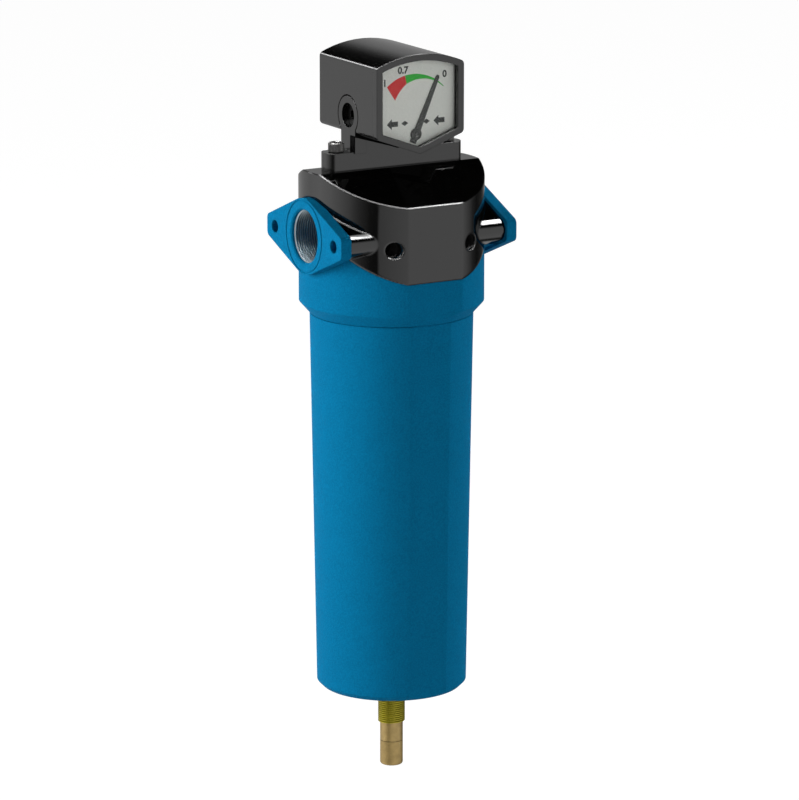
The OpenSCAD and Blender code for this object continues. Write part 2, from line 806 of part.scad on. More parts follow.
module pointer_magnet() {
    color("dimgray") translate([0, shaft_end_y - magnet_t, hub_z]) rotate([-90, 0, 0]) difference() {
        cylinder(r = magnet_r, h = magnet_t);
        translate([0, 0, -cut]) cylinder(r = shaft_r, h = magnet_t + 2 * cut);
    }
}

module pointer_bush() {
    length = 7;
    color("goldenrod") translate([0, dial_y + 0.1, hub_z]) rotate([-90, 0, 0]) difference() {
        union() {
            cylinder(r = 3, h = length);
            translate([0, 0, dial_t]) cylinder(r = 5, h = 1.5);
        }
        translate([0, 0, -cut]) cylinder(r = shaft_r + 0.04, h = length + 2 * cut);
    }
}

module gauge_cylinder() {
    color("silver") translate([0, 0, gauge_z]) rotate([0, 90, 0]) difference() {
        cylinder(r = tube_r, h = 2 * tube_half, center = true);
        cylinder(r = tube_bore_r, h = 2 * tube_half + 2 * cut, center = true);
    }
}

module gauge_piston() {
    color("silver") translate([piston_x, 0, gauge_z]) rotate([0, 90, 0]) difference() {
        cylinder(r = tube_bore_r - run, h = piston_len);
        translate([0, 0, -cut]) cylinder(r = spring_r + spring_wire + 0.2, h = spring_seat + cut);
        translate([0, 0, piston_len - magnet_seat])
            cylinder(r = piston_magnet_r + 0.1, h = magnet_seat + cut);
    }
}

module piston_magnet() {
    color("dimgray") translate([piston_x + piston_len - magnet_seat, 0, gauge_z]) rotate([0, 90, 0])
        cylinder(r = piston_magnet_r, h = magnet_seat - 0.5);
}

// Coil between the left screw and the piston's floor
module gauge_spring() {
    steps = 12;
    sides = 6;
    left = -screw_end_x + spring_wire;
    right = piston_x + spring_seat - spring_wire;
    rings = spring_turns * steps;
    points = [
        for (i = [0:rings], s = [0:sides - 1])
            let (turn = i * 360 / steps, a = s * 360 / sides, r = spring_r + spring_wire * cos(a),
                 x = left + (right - left) * i / rings + spring_wire * sin(a))
            [x, r * cos(turn), gauge_z + r * sin(turn)]
    ];
    faces = concat(
        [[for (s = [0:sides - 1]) s]],
        [[for (s = [sides - 1:-1:0]) rings * sides + s]],
        [for (i = [0:rings - 1], s = [0:sides - 1])
            let (n = (s + 1) % sides, a = i * sides, b = a + sides) [a + s, b + s, b + n, a + n]]
    );
    color("silver") polyhedron(points, faces);
}

head_casting();
head_cover();
bowl();
bowl_o_ring();
element_top_cap();
element_o_rings();
element_core();
element_media();
element_sleeve();
element_foam();
element_bottom_cap();
drain_body();
drain_washer();
drain_nut();
drain_float();
float_seal();
float_clip();
drain_knob();
drain_o_ring();
gauge_bracket();
bracket_screws();
gauge_side_screws();
gauge_housing();
gauge_bezel();
gauge_window();
gauge_dial();
gauge_pointer();
pointer_shaft();
pointer_magnet();
pointer_bush();
gauge_cylinder();
gauge_piston();
piston_magnet();
gauge_spring();
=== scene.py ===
"""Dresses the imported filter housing: threads, knurled screws, dial print, finishes, studio and camera."""

import json
import math

import bmesh
import bpy
from bpy.props import FloatProperty, FloatVectorProperty, IntProperty, PointerProperty
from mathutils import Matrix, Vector


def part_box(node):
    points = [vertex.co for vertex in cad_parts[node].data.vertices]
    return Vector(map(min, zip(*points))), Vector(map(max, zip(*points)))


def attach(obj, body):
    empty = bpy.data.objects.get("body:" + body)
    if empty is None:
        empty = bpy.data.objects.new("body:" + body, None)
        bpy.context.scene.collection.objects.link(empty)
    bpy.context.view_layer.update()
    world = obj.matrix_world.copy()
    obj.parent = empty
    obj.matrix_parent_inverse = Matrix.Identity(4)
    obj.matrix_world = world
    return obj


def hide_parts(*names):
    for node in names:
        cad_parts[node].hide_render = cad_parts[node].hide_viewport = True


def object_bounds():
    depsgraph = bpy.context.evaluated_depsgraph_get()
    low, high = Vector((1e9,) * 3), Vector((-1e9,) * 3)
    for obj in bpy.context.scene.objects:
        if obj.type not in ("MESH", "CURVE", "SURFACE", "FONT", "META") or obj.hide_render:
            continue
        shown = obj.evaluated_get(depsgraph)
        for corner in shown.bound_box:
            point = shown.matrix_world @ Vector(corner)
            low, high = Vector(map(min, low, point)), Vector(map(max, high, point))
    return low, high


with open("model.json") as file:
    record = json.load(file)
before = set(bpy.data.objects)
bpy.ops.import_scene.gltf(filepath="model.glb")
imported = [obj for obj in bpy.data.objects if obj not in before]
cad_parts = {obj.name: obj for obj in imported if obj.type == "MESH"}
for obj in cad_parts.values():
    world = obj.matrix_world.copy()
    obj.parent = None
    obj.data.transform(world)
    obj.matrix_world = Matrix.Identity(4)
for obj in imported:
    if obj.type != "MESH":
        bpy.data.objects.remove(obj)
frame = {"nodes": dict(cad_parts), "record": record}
cad_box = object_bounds()

bl_info = {
    "name": "Filter Housing",
    "version": (1, 0, 0),
    "blender": (4, 5, 0),
    "location": "3D View > Sidebar > Filter",
    "description": "Threads, screws, dial and finishes of a compressed air filter housing",
    "category": "Object",
}

MM = 0.001
TURN = 2 * math.pi


def length(name, description, value):
    return FloatProperty(name=name, description=description, default=value, unit="LENGTH", precision=5)


def colour(name, description, value):
    return FloatVectorProperty(
        name=name, description=description, default=value, size=3, subtype="COLOR", min=0, max=1
    )


class FilterThreads(bpy.types.PropertyGroup):
    """Sizes of the thread ridges that are laid on the plain walls of the frame"""

    port_pitch: length("Port Pitch", "Pitch of the threads in both ports", 0.0016)
    port_crest: length("Port Crest", "Radius at the crests of the port threads", 0.0157)
    fixing_pitch: length("Fixing Pitch", "Pitch of the threads in the fixing holes", 0.0015)
    fixing_crest: length("Fixing Crest", "Radius at the crests of the fixing threads", 0.0043)
    fixing_depth: length("Fixing Depth", "Depth of the fixing holes from the flats", 0.020)
    drain_pitch: length("Drain Pitch", "Pitch of the thread on the drain body", 0.001337)
    drain_crest: length("Drain Crest", "Radius at the crests of the drain thread", 0.0086)
    steps: IntProperty(name="Steps", description="Straight pieces in a turn", default=48, min=16, max=96)


class FilterScrews(bpy.types.PropertyGroup):
    """Sizes of the two knurled cap screws in the ears of the bracket"""

    head_r: length("Head Radius", "Radius over the knurls", 0.005)
    head_h: length("Head Height", "Height of a head", 0.006)
    shank_r: length("Shank Radius", "Radius of a shank over its thread", 0.00295)
    knurl_depth: length("Knurl Depth", "Depth of the grooves between the knurls", 0.0003)
    knurls: IntProperty(name="Knurls", description="Knurls round a head", default=36, min=12, max=60)
    socket_flats: length("Socket Flats", "Width across the flats of the hexagon socket", 0.005)
    socket_depth: length("Socket Depth", "Depth of the hexagon socket", 0.003)


class FilterCase(bpy.types.PropertyGroup):
    """Sizes of the gauge's case, and of the black strips and insets of painted shade round its foot"""

    crown_rise: length("Crown Rise", "How far the top is arched", 0.0067)
    vee: length("Vee", "Depth of the V below the case's side walls", 0.0113)
    web_gap: length("Web Gap", "Slit between the bracket's webs and the case", 0.0006)
    # The strips and insets are near black sheets of painted shade: the strips fill the slit under the case,
    # the insets the notches at the feet of the arms.
    strip_h: length("Strip Height", "Height of the rubber strips under the case at its sides", 0.0027)
    strip_front: length("Strip Front", "From the middle to the outer faces of the strips", 0.00888)
    strip_back: length("Strip Back", "From the middle to the inner faces of the strips", 0.0038)
    inset_h: length("Inset Height", "Height of the black insets at the feet of the arms", 0.010)
    inset_w: length("Inset Width", "Width of those insets", 0.0055)


class FilterDial(bpy.types.PropertyGroup):
    """Sizes of the print on the dial, and the colours of its two sectors"""

    hub_rise: length("Hub Rise", "Height of the pointer's axis above the ports' axis", 0.0635)
    digit_h: length("Digit Height", "Height of the numbers", 0.0042)
    bold: length("Bold", "How far the numbers' strokes are widened on each side", 0.00022)
    print_t: length("Print Thickness", "How far the print stands on the dial", 0.00004)
    lean: FloatProperty(
        name="Lean", description="Pointer's lean at rest, to the right of upright",
        default=math.radians(24), subtype="ANGLE",
    )
    blade_root: length("Blade Root", "Width of the pointer at its hub", 0.0046)
    blade_tip: length("Blade Tip", "Width of the pointer at its tip", 0.0026)
    blade_tail: length("Blade Tail", "How far the pointer goes on behind its axis", 0.0058)
    blade_reach: length("Blade Reach", "From the pointer's axis to its tip", 0.039)
    hub_r: length("Hub Radius", "Radius of the pointer's hub", 0.0038)
    red: colour("Red", "Colour of the sector where the element is spent", (0.74, 0.022, 0.026))
    green: colour("Green", "Colour of the sector where the element is good", (0.016, 0.46, 0.030))
    ink: colour("Ink", "Colour of the numbers and arrows", (0.012, 0.012, 0.012))


class FilterFinish(bpy.types.PropertyGroup):
    """Colours of the surfaces that the photograph shows most"""

    blue: colour("Blue Coat", "Powder coat of the head and bowl", (0.002, 0.145, 0.300))
    black: colour("Black Moulding", "Cover and gauge case", (0.0015, 0.0015, 0.0014))
    brass: colour("Thread Brass", "Drain body", (0.39, 0.33, 0.014))
    bronze: colour("Stem Brass", "Drain knob", (0.36, 0.25, 0.088))
    paper: colour("Dial Paint", "Ground of the dial", (0.92, 0.91, 0.87))


class FilterView(bpy.types.PropertyGroup):
    """The camera that was fitted to the photograph"""

    turn: FloatProperty(
        name="Turn", description="Camera's turn from the front", default=math.radians(29.8261),
        subtype="ANGLE",
    )
    tilt: FloatProperty(
        name="Tilt", description="How far the camera looks down", default=math.radians(13.3933),
        subtype="ANGLE",
    )
    distance: length("Distance", "From the camera to the point it looks at", 2.98436)
    aim_z: length("Aim Height", "Height of that point on the bowl's axis", 0.239586)
    lens: FloatProperty(name="Lens", description="Focal length in millimetres", default=213.13)
    shift: FloatProperty(name="Shift", description="Sideways shift of the lens", default=0.01006)


# Shader maths


class Field:
    """A shader socket on which Python's operators add Math nodes"""

    def __init__(self, recipe, socket):
        self.recipe = recipe
        self.socket = socket

    def math(self, operation, *values):
        return self.recipe.node("ShaderNodeMath", {"operation": operation}, dict(enumerate(values)))

    def __add__(self, other):
        return self.math("ADD", self, other)

    def __sub__(self, other):
        return self.math("SUBTRACT", self, other)

    def __rsub__(self, other):
        return self.math("SUBTRACT", other, self)

    def __mul__(self, other):
        return self.math("MULTIPLY", self, other)

    def __truediv__(self, other):
        return self.math("DIVIDE", self, other)

    def __gt__(self, other):
        return self.math("GREATER_THAN", self, other)

    def __lt__(self, other):
        return self.math("LESS_THAN", self, other)

    __radd__ = __add__
    __rmul__ = __mul__

    def angle(self, other):
        return self.math("ARCTAN2", self, other)

    def ramp(self, low, high, from_value=0.0, to_value=1.0):
        """The value spread from low..high to from_value..to_value, and held beyond them"""
        spread = {1: low, 2: high, 3: from_value, 4: to_value}
        return self.recipe.node("ShaderNodeMapRange", {"clamp": True}, {0: self, **spread})

    def parts(self):
        """The three components of a vector"""
        split = self.recipe.node("ShaderNodeSeparateXYZ", inputs={0: self})
        return [Field(self.recipe, socket) for socket in split.socket.node.outputs]

    def dot(self, other):
        settings = {"operation": "DOT_PRODUCT"}
        return self.recipe.node("ShaderNodeVectorMath", settings, {0: self, 1: other}, "Value")

    def scaled(self, factors):
        return self.recipe.node("ShaderNodeVectorMath", {"operation": "MULTIPLY"}, {0: self, 1: factors})


class Recipe:
    """The node tree of one finish, or of the world"""

    def __init__(self, tree):
        self.tree = tree
        tree.nodes.clear()

    def node(self, kind, settings=None, inputs=None, output=0):
        """Adds a node, sets its type and then its inputs, and returns one of its outputs"""
        node = self.tree.nodes.new(kind)
        for key, value in (settings or {}).items():
            if key == "stops":
                elements = node.color_ramp.elements
                while len(elements) > 1:
                    elements.remove(elements[-1])
                elements[0].position, elements[0].color = value[0][0], grey(value[0][1])
                for place, level in value[1:]:
                    elements.new(place).color = grey(level)
            else:
                setattr(node, key, value)
        for key, value in (inputs or {}).items():
            if isinstance(value, Field):
                self.tree.links.new(value.socket, node.inputs[key])
            else:
                node.inputs[key].default_value = value
        return Field(self, node.outputs[output]) if node.outputs else None

    def place(self):
        """Where a point is on its piece, in metres"""
        return self.node("ShaderNodeTexCoord", output="Object")

    def mix(self, factor, a, b):
        """A colour between a and b"""
        return self.node("ShaderNodeMix", {"data_type": "RGBA"}, {0: factor, 6: rgba(a), 7: rgba(b)}, 2)

    def grain(self, size, detail=2.0, stretch=None, rough=0.5):
        """Noise from 0 to 1 with features of that size in metres"""
        where = self.place()
        if stretch:
            where = where.scaled(stretch)
        return self.node(
            "ShaderNodeTexNoise", inputs={"Vector": where, "Scale": 1 / size, "Detail": detail,
                                          "Roughness": rough})

    def cells(self, size):
        """Distance field of scattered cells of that size in metres"""
        return self.node("ShaderNodeTexVoronoi", inputs={"Vector": self.place(), "Scale": 1 / size})

    def rounded(self, radius):
        """Surface normal with the edges rounded by that radius"""
        return self.node("ShaderNodeBevel", {"samples": 6}, {"Radius": radius})

    def edges(self, radius):
        """1 on sharp outer and inner edges, fading over that radius"""
        flat = self.node("ShaderNodeNewGeometry", output="Normal")
        return (1 - self.rounded(radius).dot(flat)).ramp(0.02, 0.25)

    def drilled(self, reach, rise, radius):
        """1 in the two holes along Y at that reach to each side, height and radius"""
        x, _, z = self.place().parts()
        across = x.math("ABSOLUTE", x) - reach
        return across * across + (z - rise) * (z - rise) < radius * radius

    def bump(self, height, depth, normal=None):
        inputs = {"Height": height, "Distance": depth, "Strength": 1.0}
        if normal:
            inputs["Normal"] = normal
        return self.node("ShaderNodeBump", inputs=inputs)

    def surface(self, **inputs):
        """Ends the recipe with a Principled shader; underscores stand for spaces in socket names"""
        named = {key.replace("_", " "): rgba(value) for key, value in inputs.items()}
        shader = self.node("ShaderNodeBsdfPrincipled", inputs=named)
        self.node("ShaderNodeOutputMaterial", inputs={"Surface": shader})


def rgba(value):
    """A colour with its alpha, where the value is a plain colour"""
    return (*value, 1.0) if isinstance(value, (tuple, list)) and len(value) == 3 else value


def grey(level):
    return level, level, level, 1.0


def shade(tone, factor):
    """A colour made lighter or darker"""
    return tuple(channel * factor for channel in tone)


def new_finish(name):
    material = bpy.data.materials.new(name)
    material.use_nodes = True
    return material, Recipe(material.node_tree)


def powder_coat(name, bore=None, holes=None):
    """Blue powder coat with fine orange peel, paler where it thins out on edges.
    The rim of a bore along X, given as its radius, height and face, is machined bare,
    and drilled holes along Y are painted near black inside, as painted shade."""
    blue = tuple(bpy.context.scene.filter_finish.blue)
    material, r = new_finish(name)
    peel = r.grain(1.0 * MM, 2)
    cloud = r.grain(14 * MM, 3)
    edge = r.edges(0.7 * MM)
    tone = r.mix(cloud.ramp(0.3, 0.7), shade(blue, 0.88), shade(blue, 0.96))
    tone = r.mix(peel.ramp(0.35, 0.65) * 0.8, tone, shade(blue, 1.2))
    tone = r.mix(edge * 0.3, tone, (0.008, 0.22, 0.42))
    bare = 0.0
    if bore:
        radius, rise, face = bore
        x, y, z = r.place().parts()
        bare = (y * y + (z - rise) * (z - rise) < radius * radius) * (x * x > face * face)
        tone = r.mix(bare, tone, (0.50, 0.52, 0.52))
    # Painted shade: the walls inside the drilled holes are painted near black.
    if holes:
        tone = r.mix(r.drilled(*holes), tone, (0.006, 0.006, 0.006))
    r.surface(
        Base_Color=tone,
        Metallic=bare,
        Roughness=cloud.ramp(0.25, 0.75, 0.50, 0.58),
        Normal=r.bump(peel, 0.27 * MM, r.rounded(1.5 * MM)),
        IOR=1.06,
    )
    return material


def gloss_moulding(holes):
    """Polished black plastic with a very faint waviness and fine dust, left rough in its holes"""
    black = tuple(bpy.context.scene.filter_finish.black)
    material, r = new_finish("gloss_moulding")
    wave = r.grain(9 * MM, 1)
    speck = r.grain(0.35 * MM, 1)
    tone = r.mix(speck.ramp(0.62, 0.8), black, shade(black, 1.9))
    r.surface(
        Base_Color=tone,
        Roughness=wave.ramp(0.3, 0.7, 0.04, 0.06) + r.drilled(*holes) * 0.75,
        Normal=r.bump(wave, 0.008 * MM, r.rounded(1.8 * MM)),
        IOR=1.5,
    )
    return material


def satin_moulding(name, soft, crown=None):
    """Fine-grained black plastic with edges rounded by the soft radius.
    A crown is an arched top along Y, given as the height of its arc's centre."""
    black = shade(tuple(bpy.context.scene.filter_finish.black), 1.4)
    material, r = new_finish(name)
    normal = r.rounded(soft)
    if crown is not None:
        x, _, z = r.place().parts()
        arched = r.node("ShaderNodeCombineXYZ", inputs={0: x, 2: z - crown})
        arched = r.node("ShaderNodeVectorMath", {"operation": "NORMALIZE"}, {0: arched})
        on_top = r.node("ShaderNodeNewGeometry", output="Normal").parts()[2] > 0.88
        normal = r.node("ShaderNodeMix", {"data_type": "VECTOR"}, {0: on_top, 4: normal, 5: arched}, 1)
    grain = r.grain(0.28 * MM, 2)
    wave = r.grain(11 * MM, 2)
    edge = r.edges(0.4 * MM)
    tone = r.mix(wave.ramp(0.3, 0.7), black, shade(black, 1.3))
    tone = r.mix(edge * 0.5, tone, (0.012, 0.012, 0.0115))
    r.surface(
        Base_Color=tone,
        Roughness=grain.ramp(0.2, 0.8, 0.10, 0.15),
        Normal=r.bump(grain, 0.006 * MM, normal),
        IOR=1.5,
    )
    return material


def oxide_steel():
    """Black oxide on steel, rubbed bright on its edges"""
    material, r = new_finish("oxide_steel")
    blotch = r.grain(1.3 * MM, 4)
    edge = r.edges(0.25 * MM)
    tone = r.mix(blotch.ramp(0.35, 0.7), (0.05, 0.05, 0.05), (0.10, 0.097, 0.094))
    r.surface(
        Base_Color=r.mix(edge * 0.6, tone, (0.24, 0.235, 0.23)),
        Metallic=0.8,
        Roughness=blotch.ramp(0.3, 0.7, 0.30, 0.45),
        Normal=r.bump(blotch, 0.01 * MM, r.rounded(0.2 * MM)),
    )
    return material


def turned_metal(name, tone, rough, groove, depth, lower=None, split=0.0):
    """Metal turned about the bowl's axis: fine rings, slight tarnish, worn edges.
    Below the height of the split it has the lower tone."""
    material, r = new_finish(name)
    ring = r.grain(groove, 2, (0.02, 0.02, 1))
    stain = r.grain(4 * MM, 4)

    def worked(metal):
        stained = r.mix(stain.ramp(0.35, 0.72), metal, shade(metal, 0.72))
        return r.mix(ring.ramp(0.3, 0.7) * 0.35, stained, shade(metal, 1.2))

    turned = worked(tone)
    if lower:
        turned = r.mix(r.place().parts()[2] > split, worked(lower), turned)
    r.surface(
        Base_Color=turned,
        Metallic=0.5,
        Roughness=stain.ramp(0.25, 0.75, rough, rough + 0.1),
        Normal=r.bump(ring, depth, r.rounded(0.25 * MM)),
    )
    return material


def bare_metal(name, tone, rough, size):
    """Bright drawn or stamped metal with short scratches and a little staining"""
    material, r = new_finish(name)
    scratch = r.grain(size, 3, (1, 1, 0.08))
    stain = r.grain(5 * MM, 3)
    r.surface(
        Base_Color=r.mix(stain.ramp(0.3, 0.75), tone, shade(tone, 0.8)),
        Metallic=1.0,
        Roughness=scratch.ramp(0.25, 0.75, rough, rough + 0.14),
        Normal=r.bump(scratch, 0.006 * MM, r.rounded(0.15 * MM)),
    )
    return material


def perforated_steel():
    """Sheet of the element's core and sleeve, with dark stains between its holes"""
    material, r = new_finish("perforated_steel")
    rolled = r.grain(0.5 * MM, 3, (1, 1, 0.1))
    stain = r.grain(7 * MM, 4)
    r.surface(
        Base_Color=r.mix(stain.ramp(0.3, 0.75), (0.62, 0.62, 0.61), (0.42, 0.42, 0.42)),
        Metallic=1.0,
        Roughness=rolled.ramp(0.25, 0.75, 0.28, 0.42),
        Normal=r.bump(rolled, 0.008 * MM, r.rounded(0.2 * MM)),
    )
    return material


def seal_rubber(name, tone):
    """Matt rubber with a pale bloom in patches"""
    material, r = new_finish(name)
    grain = r.grain(0.25 * MM, 3)
    bloom = r.grain(5 * MM, 3)
    r.surface(
        Base_Color=r.mix(bloom.ramp(0.4, 0.8), tone, shade(tone, 3)),
        Roughness=bloom.ramp(0.3, 0.7, 0.6, 0.75),
        Normal=r.bump(grain, 0.01 * MM),
        IOR=1.08,
    )
    return material


def moulded_plastic(name, tone, rough):
    """Plain moulded plastic with a fine grain and uneven colour"""
    material, r = new_finish(name)
    grain = r.grain(0.4 * MM, 3)
    cloud = r.grain(9 * MM, 3)
    r.surface(
        Base_Color=r.mix(cloud.ramp(0.3, 0.7), shade(tone, 0.88), shade(tone, 1.06)),
        Roughness=grain.ramp(0.25, 0.75, rough, rough + 0.12),
        Normal=r.bump(grain, 0.02 * MM, r.rounded(0.4 * MM)),
    )
    return material


def filter_paper():
    """Glass fibre medium: matted fibres of two sizes"""
    material, r = new_finish("glass_fibre_paper")
    fibre = r.grain(0.5 * MM, 5, (1, 1, 0.25), 0.7)
    mat = r.grain(3 * MM, 4)
    r.surface(
        Base_Color=r.mix(mat.ramp(0.3, 0.7), (0.66, 0.64, 0.58), (0.80, 0.79, 0.74)),
        Roughness=0.9,
        Normal=r.bump(fibre, 0.12 * MM),
    )
    return material


def filter_foam():
    """Open-cell foam: pale struts round cells painted darker, as painted shade in the pores"""
    material, r = new_finish("open_cell_foam")
    cell = r.cells(0.9 * MM)
    r.surface(
        # Painted shade: the middles of the cells are painted darker than the struts.
        Base_Color=r.mix(cell.ramp(0.15, 0.6), (0.28, 0.23, 0.09), (0.66, 0.56, 0.26)),
        Roughness=0.95,
        Normal=r.bump(cell, 0.35 * MM),
    )
    return material


def window_glass():
    """Clear flat window that lets the dial through and mirrors the room a little"""
    material, r = new_finish("clear_window")
    smear = r.grain(12 * MM, 3)
    shader = r.node("ShaderNodeBsdfPrincipled", inputs={
        "Base Color": (1, 1, 1, 1), "Roughness": smear.ramp(0.4, 0.8, 0.02, 0.07), "Metallic": 1.0})
    clear = r.node("ShaderNodeBsdfTransparent", inputs={"Color": (0.96, 0.97, 0.965, 1)})
    mirror = r.node("ShaderNodeFresnel", inputs={"IOR": 1.14})
    both = r.node("ShaderNodeMixShader", inputs={0: mirror, 1: clear, 2: shader})
    r.node("ShaderNodeOutputMaterial", inputs={"Surface": both})
    return material


def dial_paint(name, tone):
    """Paint or print on the dial sheet, with a faint mottle"""
    material, r = new_finish(name)
    mottle = r.grain(0.7 * MM, 3)
    r.surface(
        Base_Color=r.mix(mottle.ramp(0.35, 0.7), tone, shade(tone, 0.9)),
        Roughness=mottle.ramp(0.3, 0.7, 0.42, 0.55),
        Normal=r.bump(mottle, 0.004 * MM),
    )
    return material


def magnet():
    """Sintered magnet: dark, granular and slightly metallic"""
    material, r = new_finish("sintered_magnet")
    grit = r.cells(0.2 * MM)
    r.surface(
        Base_Color=r.mix(grit.ramp(0.1, 0.6), (0.05, 0.05, 0.052), (0.12, 0.12, 0.12)),
        Metallic=0.6,
        Roughness=0.5,
        Normal=r.bump(grit, 0.02 * MM, r.rounded(0.2 * MM)),
    )
    return material


# Pieces


def coat(material, *nodes):
    """Gives a finish to nodes of the frame"""
    for name in nodes:
        frame["nodes"][name].material_slots[0].material = material


def new_piece(name, mesh, body, material, slot, *replaced):
    """Links a mesh drawn in the frame's own place as a piece that rides on a body"""
    mesh.materials.append(material)
    piece = bpy.data.objects.new(name, mesh)
    bpy.context.scene.collection.objects.link(piece)
    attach(piece, body)
    if replaced:
        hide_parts(*replaced)


def finish_mesh(mesh, angle):
    """Shades a mesh smooth up to that angle between its faces, in degrees"""
    mesh.validate()
    mesh.shade_smooth()
    mesh.set_sharp_from_angle(angle=math.radians(angle))
    return mesh


def join_rings(faces, first, second, count):
    """Adds the faces between two closed rings of points"""
    for i in range(count):
        j = (i + 1) % count
        faces.append((first + i, first + j, second + j, second + i))


def faced_out(name, points, faces, angle=25):
    """A mesh of these faces, all turned outward"""
    mesh = bpy.data.meshes.new(name)
    mesh.from_pydata(points, [], faces)
    shell = bmesh.new()
    shell.from_mesh(mesh)
    bmesh.ops.recalc_face_normals(shell, faces=shell.faces)
    shell.to_mesh(mesh)
    shell.free()
    return finish_mesh(mesh, angle)


def thread_mesh(name, runs, pitch, root_r, crest_r, steps, crest=0.14, fades=(0.6, 0.6)):
    """Helical ridges with flat crests, sunk a little into the wall and run out at both ends.
    Each run is its start, its axis direction, a direction across it and its length. The crest
    is a share of the pitch, and the fades are the turns in which the first and last end run out."""
    points, faces = [], []
    sunk = math.copysign(0.06 * MM, crest_r - root_r)
    for start, axis, across, run in runs:
        side = axis.cross(across)
        count = int(run / pitch * steps)
        first = len(points)
        for i in range(count + 1):
            fade = min(1.0, i / (steps * fades[0]), (count - i) / (steps * fades[1]))
            top = root_r + (crest_r - root_r) * fade
            turn = TURN * i / steps
            out = across * math.cos(turn) + side * math.sin(turn)
            base = start + axis * (pitch * (i / steps))
            half, flat = 0.46 * pitch, crest / 2 * pitch
            for along, radius in ((-half, root_r - sunk), (half, root_r - sunk), (flat, top), (-flat, top)):
                points.append(base + axis * along + out * radius)
        for i in range(count):
            join_rings(faces, first + 4 * i, first + 4 * (i + 1), 4)
        faces.append((first, first + 1, first + 2, first + 3))
        last = first + 4 * count
        faces.append((last + 3, last + 2, last + 1, last))
    return faced_out(name, points, faces)


def mount(name):
    """Place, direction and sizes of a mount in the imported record"""
    found = next(m for m in frame["record"]["mounts"] if m["name"] == name)
    return Vector(found["pos_m"]), Vector(found["axis"]), found["dims"]


def fixing_holes():
    """Reach to each side, height and radius of the fixing holes, with their edges"""
    middle, _, dims = mount("front_fixing_holes")
    return dims["spacing_x_mm"] / 2 * MM, middle.z, (dims["hole_r_mm"] + 0.3) * MM


def disc(x, z, radius, corners=32):
    """Outline of a round plate"""
    turns = [TURN * i / corners for i in range(corners)]
    return [[(x + radius * math.cos(turn), z + radius * math.sin(turn)) for turn in turns]]


def plate(name, outlines, front_y, thickness):
    """Thin plates facing -Y; each outline is a list of quads or polygons of (x, z) points"""
    points, faces = [], []
    for outline in outlines:
        front = {}
        rings = []
        for polygon in outline:
            ring = []
            for x, z in polygon:
                key = (round(x, 7), round(z, 7))
                if key not in front:
                    front[key] = len(points)
                    points += [(x, front_y, z), (x, front_y + thickness, z)]
                ring.append(front[key])
            faces += [ring, [corner + 1 for corner in ring]]
            rings.append(ring)
        sides = [tuple(sorted(side)) for ring in rings for side in zip(ring, ring[1:] + ring[:1])]
        faces += [(a, b, b + 1, a + 1) for a, b in sides if sides.count((a, b)) == 1]
    return faced_out(name, points, faces, 35)


def screw_mesh(name, seats, top_z, foot_z):
    """Cap screws with knurled heads and hexagon sockets, standing along Z"""
    sizes = bpy.context.scene.filter_screws
    sides = 2 * sizes.knurls
    under_z = top_z - sizes.head_h
    socket_r = sizes.socket_flats / 2 / math.cos(math.pi / 6)
    chamfer = 0.4 * MM
    points, faces = [], []

    def knurled(i, r):
        return r - (sizes.knurl_depth if i % 2 else 0)

    def round_wall(i, r):
        return r

    def hexagon(i, r):
        turn = (TURN * i / sides) % (math.pi / 3) - math.pi / 6
        return r * math.cos(math.pi / 6) / math.cos(turn)

    profile = [
        (round_wall, sizes.shank_r - chamfer, foot_z), (round_wall, sizes.shank_r, foot_z + chamfer),
        (round_wall, sizes.shank_r, under_z), (round_wall, sizes.head_r - 2 * chamfer, under_z),
        (round_wall, sizes.head_r - chamfer, under_z + 0.2 * MM),
        (knurled, sizes.head_r, under_z + chamfer), (knurled, sizes.head_r, top_z - 1.5 * chamfer),
        (round_wall, sizes.head_r - chamfer, top_z - chamfer),
        (round_wall, sizes.head_r - 2 * chamfer, top_z), (round_wall, socket_r + chamfer / 2, top_z),
        (hexagon, socket_r, top_z - chamfer), (hexagon, socket_r, top_z - sizes.socket_depth),
    ]
    for x, y in seats:
        first = len(points)
        for shape, radius, z in profile:
            for i in range(sides):
                r, turn = shape(i, radius), TURN * i / sides
                points.append((x + r * math.cos(turn), y + r * math.sin(turn), z))
        for ring in range(len(profile) - 1):
            join_rings(faces, first + ring * sides, first + (ring + 1) * sides, sides)
        faces.append(tuple(first + i for i in reversed(range(sides))))
        faces.append(tuple(first + (len(profile) - 1) * sides + i for i in range(sides)))
    mesh = bpy.data.meshes.new(name)
    mesh.from_pydata(points, [], faces)
    return finish_mesh(mesh, 30)


class FILTER_OT_castings(bpy.types.Operator):
    """Coats the head casting and the bowl"""

    bl_idname = "filter.castings"
    bl_label = "Coat Castings"

    def execute(self, context):
        middle, _, dims = mount("inlet_port")
        rim, face = dims["r_mm"] * MM + 0.5 * MM, cad_box[1].x - 0.1 * MM
        coat(powder_coat("blue_coat_head", (rim, middle.z, face), fixing_holes()), "head_casting")
        coat(powder_coat("blue_coat_bowl"), "bowl")
        return {"FINISHED"}


class FILTER_OT_cover(bpy.types.Operator):
    """Polishes the cover over the head"""

    bl_idname = "filter.cover"
    bl_label = "Polish Cover"

    def execute(self, context):
        coat(gloss_moulding(fixing_holes()), "head_cover")
        return {"FINISHED"}


